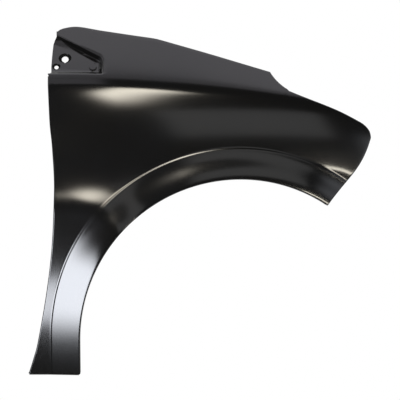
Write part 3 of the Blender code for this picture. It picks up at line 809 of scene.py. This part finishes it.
def add_boss_hollow(bm):
    centre = pad_point(BOSS)
    add_round(bm, centre - PAD_NORMAL * 2 * SHEET,
              centre + PAD_NORMAL * (BOSS_HEIGHT - SHEET), BOSS_RADIUS - SHEET / 2,
              SEAT_SIDES, end_radius=BOSS_TOP_RADIUS - SHEET / 2)


def add_pip(bm):
    """Small dimple above the boss."""
    centre = pad_point(PIP)
    add_round(bm, centre - PAD_NORMAL * PIP_DEPTH, centre + PAD_NORMAL * SHEET, PIP_RADIUS,
              HOLE_SIDES)


def flat_place(rows, share):
    """Centre and normal of a folded flat part, at a share of its length."""
    near, far = rows
    steps = [(b - a).length for a, b in zip(near, near[1:])]
    goal = share * sum(steps)
    k = 0
    while k < len(steps) - 1 and goal > steps[k]:
        goal -= steps[k]
        k += 1
    along = goal / steps[k]
    centre = (lerp(near[k], near[k + 1], along) + lerp(far[k], far[k + 1], along)) / 2
    normal = (far[k + 1] - near[k]).cross(far[k] - near[k + 1]).normalized()
    return centre, normal


def add_hole(bm, centre, normal, radius):
    reach = normal * HOLE_REACH
    add_round(bm, centre - reach, centre + reach, radius, HOLE_SIDES)


def add_flange_holes(bm, flats):
    """Clip holes along the folded edges and bolt holes in the bonnet rail."""
    rows = (("arch", ARCH_CLIPS), ("rear", REAR_CLIPS), ("front", FRONT_CLIPS))
    for name, count in rows:
        for k in range(count):
            centre, normal = flat_place(flats[name], (k + 0.5) / count)
            add_hole(bm, centre, normal, CLIP_HOLE_RADIUS)
    near, far = flats["rail"]
    for pad in RAIL_PADS:
        x = CORNER.x + pad
        after = next(n for n, place in enumerate(near) if place.x > x)
        share = (x - near[after - 1].x) / (near[after].x - near[after - 1].x)
        inner = lerp(near[after - 1], near[after], share)
        outer = lerp(far[after - 1], far[after], share)
        add_hole(bm, (inner + outer) / 2, DOWN, BOLT_HOLE_RADIUS)


def add_slot_middle(bm, centre):
    for vert in bmesh.ops.create_cube(bm, size=1)["verts"]:
        vert.co = centre + Vector((vert.co.x * SLOT_LENGTH, vert.co.y * 2 * BOLT_HOLE_RADIUS,
                                   vert.co.z * 2 * HOLE_REACH))


def add_slot_ends(bm, centre):
    for way in (-1, 1):
        add_hole(bm, centre + Vector((SLOT_LENGTH / 2 * way, 0, 0)), DOWN, BOLT_HOLE_RADIUS)


def press(sheet, name, bm, operation):
    """Adds or removes the closed shapes in bm, which stay clear of each other."""
    bm.normal_update()
    bmesh.ops.recalc_face_normals(bm, faces=bm.faces)
    tool = new_object(name, bm)
    step = sheet.modifiers.new(name, "BOOLEAN")
    step.operation = operation
    step.object = tool
    step.solver = "EXACT"
    return tool


def finish_mesh(sheet, tools):
    """Turns the sheet and its tools into one plain mesh with soft shading."""
    view = bpy.context.evaluated_depsgraph_get()
    mesh = bpy.data.meshes.new_from_object(sheet.evaluated_get(view))
    sheet.modifiers.clear()
    sheet.data = mesh
    for tool in tools:
        bpy.data.objects.remove(tool, do_unlink=True)
    for face in mesh.polygons:
        face.use_smooth = True
    mesh.set_sharp_from_angle(angle=math.radians(SHARP_ANGLE))


def fit_inside(sheet, box):
    """Takes up the last tenth of a millimetre by which curved faces pass the box."""
    places = sheet.data.vertices
    for axis in range(3):
        low = min(place.co[axis] for place in places)
        high = max(place.co[axis] for place in places)
        start = max(low, box[0][axis])
        scale = (min(high, box[1][axis]) - start) / (high - low)
        for place in places:
            place.co[axis] = start + (place.co[axis] - low) * scale


def build_fender(box):
    """The folded sheet with its bolt seats, boss, dimple, holes, slot and keyway."""
    sheet, flats = build_sheet()
    slot_centre, _ = flat_place(flats["foot"], SLOT_SHARE)

    raised = bmesh.new()
    add_seat_cup(raised, MAIN_SEAT, MAIN_SEAT_RADIUS)
    add_seat_cup(raised, SMALL_SEAT, SMALL_SEAT_RADIUS)
    add_boss(raised)

    sunk = bmesh.new()
    add_seat_recess(sunk, MAIN_SEAT, MAIN_SEAT_RADIUS)
    add_seat_recess(sunk, SMALL_SEAT, SMALL_SEAT_RADIUS)
    add_boss_hollow(sunk)
    add_pip(sunk)
    add_flange_holes(sunk, flats)
    add_slot_middle(sunk, slot_centre)

    drilled = bmesh.new()
    add_seat_hole(drilled, MAIN_SEAT, MAIN_SEAT_RADIUS, MAIN_BOLT_RADIUS)
    add_seat_hole(drilled, SMALL_SEAT, SMALL_SEAT_RADIUS, SMALL_BOLT_RADIUS)
    add_slot_ends(drilled, slot_centre)

    notch = bmesh.new()
    add_keyway(notch)

    tools = [press(sheet, "raised", raised, "UNION"),
             press(sheet, "sunk", sunk, "DIFFERENCE"),
             press(sheet, "drilled", drilled, "DIFFERENCE"),
             press(sheet, "notch", notch, "DIFFERENCE")]
    finish_mesh(sheet, tools)
    fit_inside(sheet, box)
    return sheet


# Shader nodes

def smooth_range(nodes, links, value, start, full, low=0.0, high=1.0):
    """Soft step from low to high while the value goes from start to full."""
    step = nodes.new("ShaderNodeMapRange")
    step.interpolation_type = "SMOOTHSTEP"
    step.inputs["From Min"].default_value = start
    step.inputs["From Max"].default_value = full
    step.inputs["To Min"].default_value = low
    step.inputs["To Max"].default_value = high
    links.new(value, step.inputs["Value"])
    return step.outputs["Result"]


def joined(nodes, links, operation, first, second):
    """Value of one arithmetic step on two values."""
    step = nodes.new("ShaderNodeMath")
    step.operation = operation
    links.new(first, step.inputs[0])
    links.new(second, step.inputs[1])
    return step.outputs["Value"]


# Paint

def satin_primer():
    """Black electrocoat: a satin film with fine grain and faint unevenness."""
    material = bpy.data.materials.new("black_primer")
    material.use_nodes = True
    nodes = material.node_tree.nodes
    links = material.node_tree.links
    shader = nodes["Principled BSDF"]
    place = nodes.new("ShaderNodeTexCoord")

    def noise(scale, detail):
        node = nodes.new("ShaderNodeTexNoise")
        node.inputs["Scale"].default_value = scale
        node.inputs["Detail"].default_value = detail
        links.new(place.outputs["Object"], node.inputs["Vector"])
        return node.outputs["Fac"]

    def spread(value, low, high):
        node = nodes.new("ShaderNodeMapRange")
        node.inputs["From Min"].default_value = NOISE_SPAN[0]
        node.inputs["From Max"].default_value = NOISE_SPAN[1]
        node.inputs["To Min"].default_value = low
        node.inputs["To Max"].default_value = high
        links.new(value, node.inputs["Value"])
        return node.outputs["Result"]

    tone = nodes.new("ShaderNodeMix")
    tone.data_type = "RGBA"
    tone.inputs["A"].default_value = (*PAINT_WARM, 1)
    tone.inputs["B"].default_value = (*PAINT_COOL, 1)
    links.new(spread(noise(CLOUD_SCALE, 3), 0, 1), tone.inputs["Factor"])
    links.new(tone.outputs["Result"], shader.inputs["Base Color"])

    clouds = spread(noise(CLOUD_SCALE, 4), *CLOUD_ROUGHNESS)
    specks = spread(noise(GRAIN_SCALE, 2), *GRAIN_ROUGHNESS)
    links.new(joined(nodes, links, "ADD", clouds, specks), shader.inputs["Roughness"])

    peel = nodes.new("ShaderNodeBump")
    peel.inputs["Strength"].default_value = 1.0
    peel.inputs["Distance"].default_value = PEEL_HEIGHT
    links.new(noise(PEEL_SCALE, 2), peel.inputs["Height"])
    grain = nodes.new("ShaderNodeBump")
    grain.inputs["Strength"].default_value = 1.0
    grain.inputs["Distance"].default_value = GRAIN_HEIGHT
    links.new(noise(GRAIN_SCALE, 2), grain.inputs["Height"])
    links.new(peel.outputs["Normal"], grain.inputs["Normal"])
    links.new(grain.outputs["Normal"], shader.inputs["Normal"])

    shader.inputs["Metallic"].default_value = 0.0
    shader.inputs["Specular IOR Level"].default_value = PAINT_SPECULAR
    return material


# Studio

def aim(azimuth, elevation):
    """Unit direction: azimuth 0 towards the camera and rising to +X, in degrees."""
    a, e = math.radians(azimuth), math.radians(elevation)
    return Vector((math.sin(a) * math.cos(e), -math.cos(a) * math.cos(e), math.sin(e)))


def fade_edges(light, edges):
    """Lets the lamp's brightness fall smoothly to nothing at its edges."""
    light.use_nodes = True
    nodes, links = light.node_tree.nodes, light.node_tree.links
    place = nodes.new("ShaderNodeNewGeometry")
    split = nodes.new("ShaderNodeSeparateXYZ")
    links.new(place.outputs["Parametric"], split.inputs["Vector"])
    shares = []
    for k, edge in enumerate(edges):
        offset = nodes.new("ShaderNodeMath")
        offset.operation = "SUBTRACT"
        offset.inputs[1].default_value = 0.5
        links.new(split.outputs[k], offset.inputs[0])
        away = nodes.new("ShaderNodeMath")
        away.operation = "ABSOLUTE"
        links.new(offset.outputs["Value"], away.inputs[0])
        start = 0.5 * (1 - edge) / (1 + edge)
        shares.append(smooth_range(nodes, links, away.outputs["Value"], start, 0.5, 1.0, 0.0))
    links.new(joined(nodes, links, "MULTIPLY", *shares), nodes["Emission"].inputs["Strength"])


def panel_lamp(name, place, direction, roll, size, edges, radiance, colour):
    """Rectangular lamp that lies in the given direction from what it lights."""
    light = bpy.data.lights.new(name, "AREA")
    light.shape = "RECTANGLE"
    light.size = size[0] * (1 + edges[0])
    light.size_y = size[1] * (1 + edges[1])
    light.energy = radiance * math.pi * light.size * light.size_y
    light.color = colour
    fade_edges(light, edges)
    lamp = bpy.data.objects.new(name, light)
    lamp.location = place
    turn = direction.to_track_quat("Z", "Y")
    lamp.rotation_mode = "QUATERNION"
    lamp.rotation_quaternion = turn @ Quaternion((0, 0, 1), math.radians(roll))
    lamp.visible_camera = False
    bpy.context.scene.collection.objects.link(lamp)


def build_lamps():
    """The softboxes round the object and the panels overhead."""
    centre = TO_ROW @ STUDIO_CENTRE
    for name, azimuth, elevation, width, height, roll, edges, radiance, colour in SOFTBOXES:
        direction = aim(azimuth, elevation)
        size = [2 * LIGHT_DISTANCE * math.tan(math.radians(angle / 2))
                for angle in (width, height)]
        panel_lamp(name, centre + direction * LIGHT_DISTANCE, direction, roll, size, edges,
                   radiance, colour)
    for name, place, size, edges, radiance in CEILING:
        place = STUDIO_CENTRE + Vector((*place, CEILING_HEIGHT))
        panel_lamp(name, TO_ROW @ place, -DOWN, 0, Vector(size) * MM, edges, radiance, VIOLET)


def shown_rays(nodes, links, behind):
    """One where the backdrop is seen, also by reflection behind the object, else zero."""
    path = nodes.new("ShaderNodeLightPath")
    seen = joined(nodes, links, "MAXIMUM", path.outputs["Is Camera Ray"],
                  path.outputs["Is Transmission Ray"])
    mirrored = joined(nodes, links, "MULTIPLY", behind, path.outputs["Is Glossy Ray"])
    return joined(nodes, links, "MAXIMUM", seen, mirrored)


def build_world():
    """White behind the object for the camera and in reflections, dim elsewhere."""
    world = bpy.data.worlds.new("studio")
    bpy.context.scene.world = world
    world.use_nodes = True
    nodes, links = world.node_tree.nodes, world.node_tree.links
    nodes.clear()
    place = nodes.new("ShaderNodeTexCoord")
    split = nodes.new("ShaderNodeSeparateXYZ")
    links.new(place.outputs["Generated"], split.inputs["Vector"])
    behind = smooth_range(nodes, links, split.outputs["Y"], *BACKDROP_SPAN)
    rise = smooth_range(nodes, links, split.outputs["Z"], *BACKDROP_RISE, BACKDROP_LOW)
    behind = joined(nodes, links, "MULTIPLY", behind, rise)
    strength = nodes.new("ShaderNodeMapRange")
    strength.inputs["To Min"].default_value = ROOM_LEVEL
    strength.inputs["To Max"].default_value = 1.0
    links.new(shown_rays(nodes, links, behind), strength.inputs["Value"])
    background = nodes.new("ShaderNodeBackground")
    background.inputs["Color"].default_value = (1, 1, 1, 1)
    links.new(strength.outputs["Result"], background.inputs["Strength"])
    output = nodes.new("ShaderNodeOutputWorld")
    links.new(background.outputs["Background"], output.inputs["Surface"])


def build_floor(lowest):
    """Round pale floor below the hanging part, fading into the white background."""
    bm = bmesh.new()
    bmesh.ops.create_circle(bm, cap_ends=True, segments=FLOOR_SIDES, radius=FLOOR_RADIUS)
    mesh = bpy.data.meshes.new("floor")
    bm.to_mesh(mesh)
    bm.free()
    floor = bpy.data.objects.new("floor", mesh)
    centre = TO_ROW @ STUDIO_CENTRE
    floor.location = (centre.x, centre.y, lowest - FLOOR_GAP)
    bpy.context.scene.collection.objects.link(floor)

    material = bpy.data.materials.new("pale_floor")
    material.use_nodes = True
    nodes, links = material.node_tree.nodes, material.node_tree.links
    shader = nodes["Principled BSDF"]
    shader.inputs["Base Color"].default_value = (*FLOOR_COLOUR, 1)
    shader.inputs["Roughness"].default_value = FLOOR_ROUGHNESS
    shader.inputs["Specular IOR Level"].default_value = FLOOR_SPECULAR
    place = nodes.new("ShaderNodeTexCoord")
    split = nodes.new("ShaderNodeSeparateXYZ")
    links.new(place.outputs["Object"], split.inputs["Vector"])
    behind = smooth_range(nodes, links, split.outputs["Y"], *FLOOR_SPAN)
    away = nodes.new("ShaderNodeVectorMath")
    away.operation = "LENGTH"
    links.new(place.outputs["Object"], away.inputs[0])
    fade = smooth_range(nodes, links, away.outputs["Value"], *FLOOR_FADE, FLOOR_GLOW)
    glow = joined(nodes, links, "MULTIPLY", fade, shown_rays(nodes, links, behind))
    shader.inputs["Emission Color"].default_value = (1, 1, 1, 1)
    links.new(glow, shader.inputs["Emission Strength"])
    mesh.materials.append(material)


def build_camera():
    camera = bpy.data.cameras.new("camera")
    camera.sensor_width = SENSOR_WIDTH
    camera.lens = SENSOR_WIDTH * CAMERA_DISTANCE / FRAME_WIDTH
    camera.clip_end = CAMERA_RANGE
    obj = bpy.data.objects.new("camera", camera)
    obj.location = TO_ROW @ Vector((FRAME_CENTRE.x, -CAMERA_DISTANCE, FRAME_CENTRE.y))
    obj.rotation_euler = (math.radians(90), 0, 0)
    bpy.context.scene.collection.objects.link(obj)
    bpy.context.scene.camera = obj


def corners(box):
    return [[float(value) for value in corner] for corner in box]


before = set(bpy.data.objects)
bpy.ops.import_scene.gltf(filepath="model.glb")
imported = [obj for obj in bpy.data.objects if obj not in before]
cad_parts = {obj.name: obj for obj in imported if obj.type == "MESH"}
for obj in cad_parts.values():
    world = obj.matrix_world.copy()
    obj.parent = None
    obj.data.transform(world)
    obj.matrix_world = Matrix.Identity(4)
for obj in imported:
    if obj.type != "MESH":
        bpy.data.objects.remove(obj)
cad_box = corners(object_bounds())

fender = build_fender(cad_box)
fender.data.materials.clear()
fender.data.materials.append(satin_primer())
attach(fender, "root")
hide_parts("fender_panel")

build_world()
build_floor(cad_box[0][2])
build_lamps()
build_camera()
bpy.context.scene.view_settings.view_transform = "Standard"
